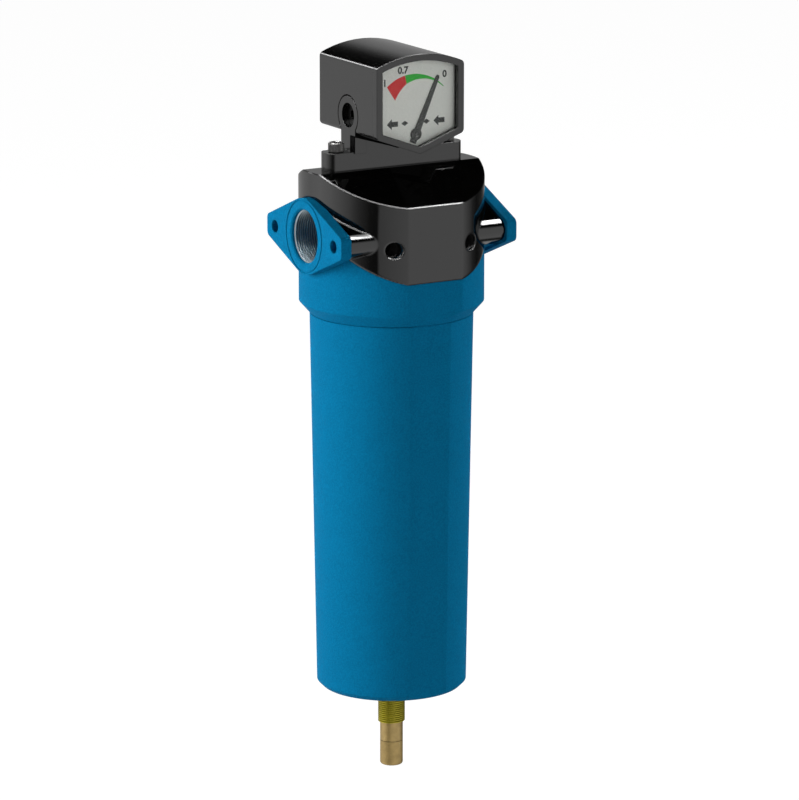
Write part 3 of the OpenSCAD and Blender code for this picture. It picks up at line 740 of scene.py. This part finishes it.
class FILTER_OT_port_threads(bpy.types.Operator):
    """Cuts the pipe threads of both ports"""

    bl_idname = "filter.port_threads"
    bl_label = "Cut Port Threads"

    def execute(self, context):
        threads = context.scene.filter_threads
        bare = bare_metal("cut_aluminium", (0.30, 0.36, 0.39), 0.28, 0.4 * MM)
        for name in ("inlet_port", "outlet_port"):
            middle, axis, dims = mount(name)
            run = dims["length_mm"] * MM - threads.port_pitch
            start = middle + axis * (run / 2)
            mesh = thread_mesh(
                name + "_thread", [(start, -axis, Vector((0, 0, 1)), run)], threads.port_pitch,
                dims["r_mm"] * MM, threads.port_crest, threads.steps, crest=0.2, fades=(0.1, 0.6))
            new_piece(name + "_thread", mesh, "head", bare, "tube_metal")
        return {"FINISHED"}


class FILTER_OT_fixing_threads(bpy.types.Operator):
    """Cuts the threads of the four fixing holes and lays near black discs of painted shade on their floors.
    They start where the cover's wall, which curves back, is round them all over."""

    bl_idname = "filter.fixing_threads"
    bl_label = "Cut Fixing Threads"

    def execute(self, context):
        threads = context.scene.filter_threads
        # Painted shade: the thread ridges are real, but their near black colour and the discs on the floors
        # are painted shade in the holes.
        steel = bare_metal("fixing_hole_painted_shade", (0.014, 0.014, 0.014), 0.5, 0.3 * MM)
        lead, floor_t = 7.6 * MM, 0.1 * MM
        runs = []
        for name in ("front_fixing_holes", "back_fixing_holes"):
            middle, axis, dims = mount(name)
            face_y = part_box("head_cover")[0 if axis.y < 0 else 1].y
            floor_y = face_y - axis.y * threads.fixing_depth
            floors = []
            for side in (-1, 1):
                x = middle.x + side * dims["spacing_x_mm"] / 2 * MM
                start = Vector((x, face_y - axis.y * lead, middle.z))
                run = threads.fixing_depth - lead - threads.fixing_pitch
                runs.append((start, -axis, Vector((0, 0, 1)), run))
                floors.append(disc(x, middle.z, dims["hole_r_mm"] * MM))
            mesh = plate(name + "_floors", floors, min(floor_y, floor_y + axis.y * floor_t), floor_t)
            new_piece(name + "_floors", mesh, "head", steel, "tube_metal")
        mesh = thread_mesh("fixing_threads", runs, threads.fixing_pitch, dims["hole_r_mm"] * MM,
                           threads.fixing_crest, threads.steps)
        new_piece("fixing_threads", mesh, "head", steel, "tube_metal")
        return {"FINISHED"}


class FILTER_OT_drain(bpy.types.Operator):
    """Turns the drain's stem and cuts its outer thread"""

    bl_idname = "filter.drain"
    bl_label = "Turn Drain"

    def execute(self, context):
        threads = context.scene.filter_threads
        colours = context.scene.filter_finish
        middle, _, dims = mount("drain_thread")
        thread_foot = middle.z - dims["length_mm"] * MM / 2
        brass = turned_metal("yellow_brass", tuple(colours.brass), 0.30, 0.12 * MM, 0.006 * MM,
                             tuple(colours.bronze), thread_foot - 0.3 * MM)
        bronze = turned_metal("stem_brass", tuple(colours.bronze), 0.42, 0.10 * MM, 0.005 * MM)
        coat(brass, "drain_body", "drain_nut", "pointer_bush")
        coat(bronze, "drain_knob")
        start = Vector((middle.x, middle.y, thread_foot - 0.3 * threads.drain_pitch))
        run = dims["length_mm"] * MM - 0.2 * threads.drain_pitch
        mesh = thread_mesh("drain_thread", [(start, Vector((0, 0, 1)), Vector((0, 1, 0)), run)],
                           threads.drain_pitch, dims["r_mm"] * MM, threads.drain_crest, threads.steps,
                           crest=0.40, fades=(0.15, 0.6))
        new_piece("drain_thread_ridges", mesh, "bowl", brass, "thread_brass")
        return {"FINISHED"}


class FILTER_OT_drain_valve(bpy.types.Operator):
    """Finishes the float and its clip inside the bowl"""

    bl_idname = "filter.drain_valve"
    bl_label = "Finish Drain Valve"

    def execute(self, context):
        coat(moulded_plastic("float_foam", (0.62, 0.60, 0.52), 0.5), "drain_float")
        coat(bare_metal("spring_steel", (0.58, 0.58, 0.57), 0.24, 0.25 * MM), "float_clip", "gauge_spring")
        return {"FINISHED"}


class FILTER_OT_seals(bpy.types.Operator):
    """Gives the rings, the washer and the float's seal their rubber"""

    bl_idname = "filter.seals"
    bl_label = "Finish Seals"

    def execute(self, context):
        coat(seal_rubber("nitrile_rubber", (0.012, 0.012, 0.012)),
             "bowl_o_ring", "drain_o_ring", "element_o_rings", "drain_washer", "float_seal")
        return {"FINISHED"}


class FILTER_OT_element(bpy.types.Operator):
    """Finishes the filter element's caps, sheet, medium and foam"""

    bl_idname = "filter.element"
    bl_label = "Finish Element"

    def execute(self, context):
        coat(moulded_plastic("cap_plastic", (0.045, 0.22, 0.10), 0.36),
             "element_top_cap", "element_bottom_cap")
        coat(perforated_steel(), "element_core", "element_sleeve")
        coat(filter_paper(), "element_media")
        coat(filter_foam(), "element_foam")
        return {"FINISHED"}


class FILTER_OT_bracket(bpy.types.Operator):
    """Finishes the gauge's bracket and makes its screws"""

    bl_idname = "filter.bracket"
    bl_label = "Make Bracket Screws"

    def execute(self, context):
        coat(satin_moulding("bracket_moulding", 0.3 * MM), "gauge_bracket")
        steel = oxide_steel()
        coat(bare_metal("blackened_steel", (0.015, 0.015, 0.015), 0.4, 0.3 * MM), "gauge_side_screws")
        low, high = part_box("bracket_screws")
        reach = high.x - context.scene.filter_screws.head_r
        mesh = screw_mesh("cap_screws", [(-reach, 0), (reach, 0)], high.z, low.z)
        new_piece("cap_screws", mesh, "head", steel, "black_steel", "bracket_screws")
        return {"FINISHED"}


class FILTER_OT_gauge_case(bpy.types.Operator):
    """Finishes the gauge's case, fills the slit between it and the bracket's webs with black strips of
    painted shade, and the notches at the arms' feet with black insets of painted shade
    """

    bl_idname = "filter.gauge_case"
    bl_label = "Finish Gauge Case"

    def execute(self, context):
        case = context.scene.filter_case
        low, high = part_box("gauge_housing")
        half_w = high.x
        arc_r = (half_w ** 2 + case.crown_rise ** 2) / (2 * case.crown_rise)
        coat(satin_moulding("case_moulding", 0.9 * MM, high.z - arc_r), "gauge_housing")
        coat(satin_moulding("bezel_moulding", 1.0 * MM, high.z - arc_r), "gauge_bezel")
        slack = 0.02 * MM
        foot_z = low.z + case.vee
        side_x = half_w - slack
        halves = [[(side * side_x, foot_z - case.strip_h), (0, low.z - case.web_gap),
                   (0, low.z - slack), (side * side_x, foot_z - slack)] for side in (-1, 1)]
        # Painted shade: near black strips stand in the slit between the case and the webs, where there is
        # only shade.
        painted_shade_black = seal_rubber("painted_shade_sheets", (0.0015, 0.0015, 0.0015))
        depth = case.strip_front - case.strip_back
        for name, front_y in (("front_painted_shade_strip", -case.strip_front), ("back_painted_shade_strip", case.strip_back)):
            new_piece(name, plate(name, [halves], front_y, depth), "head", painted_shade_black, "seal_rubber")
        base_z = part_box("bracket_screws")[1].z - context.scene.filter_screws.head_h
        # Painted shade: near black insets stand in the notches beside the feet of the arms.
        for side in (-1, 1):
            left_x, right_x = side * half_w - 0.5 * MM, side * half_w + 0.05 * MM
            top_z = base_z + case.inset_h
            inset = [(left_x, base_z), (right_x, base_z), (right_x, top_z), (left_x, top_z)]
            name = "left_painted_shade_inset" if side < 0 else "right_painted_shade_inset"
            mesh = plate(name, [[inset]], -case.strip_front, case.inset_w)
            new_piece(name, mesh, "head", painted_shade_black, "seal_rubber")
        return {"FINISHED"}


def sector(stops, hub_z):
    """A band of quads round the pointer's axis, through stops that are each a lean in degrees,
    an inner and an outer radius in millimetres"""
    pieces = 6

    def corner(lean, radius):
        turn = math.radians(lean)
        return radius * MM * math.sin(turn), hub_z + radius * MM * math.cos(turn)

    quads = []
    for here, there in zip(stops, stops[1:]):
        spots = [[a + (b - a) * i / pieces for a, b in zip(here, there)] for i in range(pieces + 1)]
        for (lean_a, in_a, out_a), (lean_b, in_b, out_b) in zip(spots, spots[1:]):
            quads.append([corner(lean_a, in_a), corner(lean_b, in_b), corner(lean_b, out_b),
                          corner(lean_a, out_a)])
    return quads


def arrow(x, z):
    """Flow arrow that points to -X, about that point"""
    half, high, stem = 3.95 * MM, 3.4 * MM, 1.6 * MM
    neck = x - 0.4 * MM
    return [[(x - half, z), (neck, z - high), (neck, z + high)],
            [(neck, z - stem), (x + half, z - stem), (x + half, z + stem), (neck, z + stem)]]


def diamond(x, z):
    half, high = 2.5 * MM, 1.6 * MM
    return [[(x - half, z), (x, z - high), (x + half, z), (x, z + high)]]


def number_mesh(body, x, z, front_y, dial):
    """A plain number about that point, as thick as the print and facing -Y"""
    font_height = 0.7
    curve = bpy.data.curves.new("number", "FONT")
    curve.body = body
    curve.size = dial.digit_h / font_height
    curve.align_x, curve.align_y = "CENTER", "CENTER"
    curve.extrude = dial.print_t / 2
    curve.offset = dial.bold
    curve.resolution_u = 3
    carrier = bpy.data.objects.new("number", curve)
    bpy.context.scene.collection.objects.link(carrier)
    bpy.context.view_layer.update()
    ready = carrier.evaluated_get(bpy.context.evaluated_depsgraph_get())
    mesh = bpy.data.meshes.new_from_object(ready)
    bpy.data.objects.remove(carrier)
    for vertex in mesh.vertices:
        across, up, out = vertex.co
        vertex.co = (x + across, front_y + dial.print_t / 2 - out, z + up)
    mesh.materials.clear()
    return mesh


class FILTER_OT_dial(bpy.types.Operator):
    """Prints the dial: sectors, numbers, flow arrows and small diamonds"""

    bl_idname = "filter.dial"
    bl_label = "Print Dial"

    def execute(self, context):
        dial = context.scene.filter_dial
        coat(dial_paint("dial_ground", tuple(context.scene.filter_finish.paper)), "gauge_dial")
        port_z = mount("inlet_port")[0].z
        hub_z = port_z + dial.hub_rise
        front_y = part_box("gauge_dial")[0].y - dial.print_t
        red = sector([(-33.5, 26.4, 36.9), (-22, 29.6, 37.6), (-11.5, 32.4, 37.8)], hub_z)
        green = sector([(-11.4, 32.4, 37.8), (0, 33.9, 37.6), (12, 34.8, 36.9), (24, 35.0, 36.0),
                        (35, 34.3, 34.8)], hub_z)
        line_z = port_z + 70.8 * MM
        marks = [arrow(-16.5 * MM, line_z), arrow(16.7 * MM, line_z), diamond(-7.7 * MM, line_z),
                 diamond(7.7 * MM, line_z)]
        ink = dial_paint("dial_ink", tuple(dial.ink))
        prints = (
            ("red_sector", [red], dial_paint("red_print", tuple(dial.red))),
            ("green_sector", [green], dial_paint("green_print", tuple(dial.green))),
            ("flow_marks", marks, ink),
        )
        for name, outlines, paint in prints:
            new_piece(name, plate(name, outlines, front_y, dial.print_t), "head", paint, "dial_face")
        for body, x, rise in (("1", -21.9, 96.6), ("0.7", -9.0, 103.8), ("0", 20.6, 99.3)):
            mesh = number_mesh(body, x * MM, port_z + rise * MM, front_y, dial)
            new_piece("number_" + body.replace(".", "_"), mesh, "head", ink, "dial_face")
        return {"FINISHED"}


def pointer_mesh(name, hub_z, back_y, depth, dial):
    """Blade with a raised middle on a round hub, lying flat and facing -Y"""
    points, faces = [], []
    sides = 48
    half_root, half_tip = dial.blade_root / 2, dial.blade_tip / 2
    edge_h, ridge_h = 0.35 * depth, 0.6 * depth

    def spot(along, across, rise):
        cos, sin = math.cos(dial.lean), math.sin(dial.lean)
        return across * cos + along * sin, back_y - rise, hub_z + along * cos - across * sin

    stations = [(-dial.blade_tail, half_root), (0, half_root), (dial.blade_reach - half_tip, half_tip),
                (dial.blade_reach, 0.5 * half_tip)]
    for along, half in stations:
        points += [spot(along, -half, 0), spot(along, -half, edge_h), spot(along, 0, ridge_h),
                   spot(along, half, edge_h), spot(along, half, 0)]
    for i in range(len(stations) - 1):
        join_rings(faces, 5 * i, 5 * (i + 1), 5)
    faces += [tuple(range(5)), tuple(5 * len(stations) - 1 - i for i in range(5))]
    first = len(points)
    rim = 0.3 * MM
    profile = [(dial.hub_r, 0), (dial.hub_r, depth - rim), (dial.hub_r - rim, depth),
               (0.5 * dial.hub_r, depth), (0.42 * dial.hub_r, 0.8 * depth)]
    for radius, rise in profile:
        for i in range(sides):
            turn = TURN * i / sides
            points.append(spot(radius * math.cos(turn), radius * math.sin(turn), rise))
    for ring in range(len(profile) - 1):
        join_rings(faces, first + ring * sides, first + (ring + 1) * sides, sides)
    faces.append(tuple(first + i for i in range(sides)))
    faces.append(tuple(first + (len(profile) - 1) * sides + i for i in range(sides)))
    return faced_out(name, points, faces)


class FILTER_OT_pointer(bpy.types.Operator):
    """Makes the pointer and glazes the window in front of it"""

    bl_idname = "filter.pointer"
    bl_label = "Make Pointer"

    def execute(self, context):
        dial = context.scene.filter_dial
        low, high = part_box("gauge_pointer")
        hub_z = mount("inlet_port")[0].z + dial.hub_rise
        mesh = pointer_mesh("pointer_blade", hub_z, high.y, high.y - low.y, dial)
        paint = dial_paint("pointer_paint", (0.028, 0.028, 0.027))
        new_piece("pointer_blade", mesh, "pointer", paint, "pointer_paint", "gauge_pointer")
        coat(window_glass(), "gauge_window")
        return {"FINISHED"}


class FILTER_OT_gauge_works(bpy.types.Operator):
    """Finishes the cylinder, piston and magnets inside the gauge"""

    bl_idname = "filter.gauge_works"
    bl_label = "Finish Gauge Works"

    def execute(self, context):
        coat(bare_metal("bored_aluminium", (0.66, 0.66, 0.65), 0.28, 0.3 * MM),
             "gauge_cylinder", "gauge_piston")
        coat(magnet(), "piston_magnet", "pointer_magnet")
        coat(bare_metal("browned_steel", (0.07, 0.07, 0.07), 0.3, 0.2 * MM), "pointer_shaft")
        return {"FINISHED"}


# Studio


def studio_floor():
    """Pale floor, seen by the camera as white with a faint shadow"""
    material, r = new_finish("studio_floor")
    mottle = r.grain(0.4, 2)
    base = r.node("ShaderNodeBsdfDiffuse", inputs={
        "Color": r.mix(mottle.ramp(0.3, 0.7), (0.80, 0.80, 0.80), (0.84, 0.84, 0.84))})
    faint = r.node("ShaderNodeBsdfDiffuse", inputs={"Color": (0.16, 0.16, 0.16, 1)})
    glow = r.node("ShaderNodeEmission", inputs={"Color": (1, 1, 1, 1), "Strength": 0.96})
    seen = r.node("ShaderNodeAddShader", inputs={0: glow, 1: faint})
    camera = r.node("ShaderNodeLightPath", output="Is Camera Ray")
    r.node("ShaderNodeOutputMaterial",
           inputs={"Surface": r.node("ShaderNodeMixShader", inputs={0: camera, 1: base, 2: seen})})
    return material


def studio_world(view):
    """White room that hardly lights matt surfaces, where the lamps do the work.
    Shiny ones mirror its bright walls, its dark corner, a strip high up, a patch and the ceiling."""
    world = bpy.data.worlds.new("studio_world")
    world.use_nodes = True
    r = Recipe(world.node_tree)
    toward = (-math.sin(view.turn), -math.cos(view.turn), 0)
    right = (math.cos(view.turn), -math.sin(view.turn), 0)
    ray = r.node("ShaderNodeTexCoord", output="Generated")
    height = ray.parts()[2]
    bearing = ray.dot(right).angle(ray.dot(toward)) / TURN + 0.5
    stops = [(-180, 0.36), (-165, 0.4), (-139, 0.6), (-120, 0.85), (-98, 1.5), (-83, 1.55), (-68, 1.26),
             (-60, 1.06), (-53, 0.85), (-47, 0.58), (-40, 0.36), (-27, 0.10), (-17, 0.06), (-14, 0.82),
             (0, 1.0), (28, 1.3), (60, 1.36), (90, 1.2), (100, 0.88), (110, 0.45), (120, 0.12),
             (130, 0.03), (150, 0.06), (170, 0.33), (180, 0.36)]
    brightest = 1.6
    walls = r.node("ShaderNodeValToRGB", {"stops": [(0.5 + a / 360, v / brightest) for a, v in stops]},
                   {"Fac": bearing}) * brightest
    facing = ray.dot(toward).ramp(-1.0, 1.0, 0.38, 0.62)
    fade = height.ramp(facing * 0.7, facing, 1.0, 0.01)
    strip_low, strip_high = 0.805, 0.92
    strip = (height > strip_low) * (height < strip_high) * 40
    ceiling = height.ramp(strip_high, 0.97) * 5
    patch_toward = Vector((-0.33, 0.843, 0.42)).normalized()
    patch = (ray.dot(patch_toward) > math.cos(math.radians(5))) * 10
    mirrored = walls * fade + strip + ceiling + patch
    shiny = r.node("ShaderNodeLightPath", output="Is Glossy Ray")
    seen = r.node("ShaderNodeLightPath", output="Is Camera Ray")
    through = r.node("ShaderNodeLightPath", output="Is Transmission Ray")
    plain = seen + through
    strength = shiny * mirrored + plain + (1 - shiny - plain) * 0.08
    glow = r.node("ShaderNodeBackground", inputs={"Color": (1, 1, 1, 1), "Strength": strength})
    r.node("ShaderNodeOutputWorld", inputs={"Surface": glow})
    bpy.context.scene.world = world


def soft_lamp(name, toward, distance, size, level):
    """Square lamp that would light a facing white surface to that level"""
    lamp = bpy.data.lights.new(name, "AREA")
    lamp.size = size
    lamp.energy = level * (math.pi * distance) ** 2
    carrier = bpy.data.objects.new(name, lamp)
    middle = Vector((0, 0, 0.23))
    carrier.location = middle + Vector(toward).normalized() * distance
    carrier.rotation_euler = (-Vector(toward)).to_track_quat("-Z", "Y").to_euler()
    carrier.visible_glossy = False
    carrier.visible_camera = False
    bpy.context.scene.collection.objects.link(carrier)


def round_floor(radius):
    """Wide floor that shiny surfaces don't mirror"""
    sides = 96
    turns = [TURN * i / sides for i in range(sides)]
    edge = [(radius * math.cos(turn), radius * math.sin(turn), 0) for turn in turns]
    mesh = bpy.data.meshes.new("floor")
    mesh.from_pydata(edge, [], [tuple(range(sides))])
    mesh.materials.append(studio_floor())
    floor = bpy.data.objects.new("floor", mesh)
    floor.visible_glossy = False
    bpy.context.scene.collection.objects.link(floor)


def fitted_camera(view):
    """Camera that sees the part as the photograph does"""
    camera = bpy.data.cameras.new("camera")
    camera.sensor_width = 36
    camera.sensor_fit = "HORIZONTAL"
    camera.lens = view.lens
    camera.shift_x = view.shift
    camera.clip_end = 20
    looks = Vector((math.sin(view.turn) * math.cos(view.tilt), math.cos(view.turn) * math.cos(view.tilt),
                    -math.sin(view.tilt)))
    carrier = bpy.data.objects.new("camera", camera)
    carrier.location = Vector((0, 0, view.aim_z)) - looks * view.distance
    carrier.rotation_euler = looks.to_track_quat("-Z", "Y").to_euler()
    bpy.context.scene.collection.objects.link(carrier)
    bpy.context.scene.camera = carrier


class FILTER_OT_studio(bpy.types.Operator):
    """Sets the floor, the room, the lamps and the camera"""

    bl_idname = "filter.studio"
    bl_label = "Set Studio"

    def execute(self, context):
        context.scene.view_settings.view_transform = "Standard"
        round_floor(6.0)
        studio_world(context.scene.filter_view)
        soft_lamp("key", (-0.94, 0.34, 0.22), 2.0, 1.3, 1.22)
        soft_lamp("fill", (1.0, -0.05, 0.2), 2.4, 1.6, 0.52)
        soft_lamp("front", (0.0, -1.0, 0.25), 2.4, 1.6, 0.28)
        fitted_camera(context.scene.filter_view)
        return {"FINISHED"}


GROUPS = {
    "filter_threads": FilterThreads,
    "filter_screws": FilterScrews,
    "filter_case": FilterCase,
    "filter_dial": FilterDial,
    "filter_finish": FilterFinish,
    "filter_view": FilterView,
}
OPERATORS = (
    FILTER_OT_studio, FILTER_OT_castings, FILTER_OT_cover, FILTER_OT_port_threads,
    FILTER_OT_fixing_threads, FILTER_OT_drain, FILTER_OT_drain_valve, FILTER_OT_seals,
    FILTER_OT_element, FILTER_OT_bracket, FILTER_OT_gauge_case, FILTER_OT_dial, FILTER_OT_pointer,
    FILTER_OT_gauge_works,
)


class FILTER_PT_sidebar(bpy.types.Panel):
    """Lists the sizes and the steps that make the filter housing"""

    bl_idname = "FILTER_PT_sidebar"
    bl_label = "Filter Housing"
    bl_space_type = "VIEW_3D"
    bl_region_type = "UI"
    bl_category = "Filter"

    def draw(self, context):
        for group, kind in GROUPS.items():
            box = self.layout.box()
            box.label(text=kind.__name__)
            for key in kind.__annotations__:
                box.prop(getattr(context.scene, group), key)
        for operator in OPERATORS:
            self.layout.operator(operator.bl_idname)


CLASSES = (*GROUPS.values(), *OPERATORS, FILTER_PT_sidebar)


def register():
    for kind in CLASSES:
        bpy.utils.register_class(kind)
    for name, kind in GROUPS.items():
        setattr(bpy.types.Scene, name, PointerProperty(type=kind))


def unregister():
    for name in GROUPS:
        delattr(bpy.types.Scene, name)
    for kind in reversed(CLASSES):
        bpy.utils.unregister_class(kind)


def main():
    register()
    for operator in OPERATORS:
        group, name = operator.bl_idname.split(".")
        getattr(getattr(bpy.ops, group), name)()


if __name__ == "__main__":
    main()
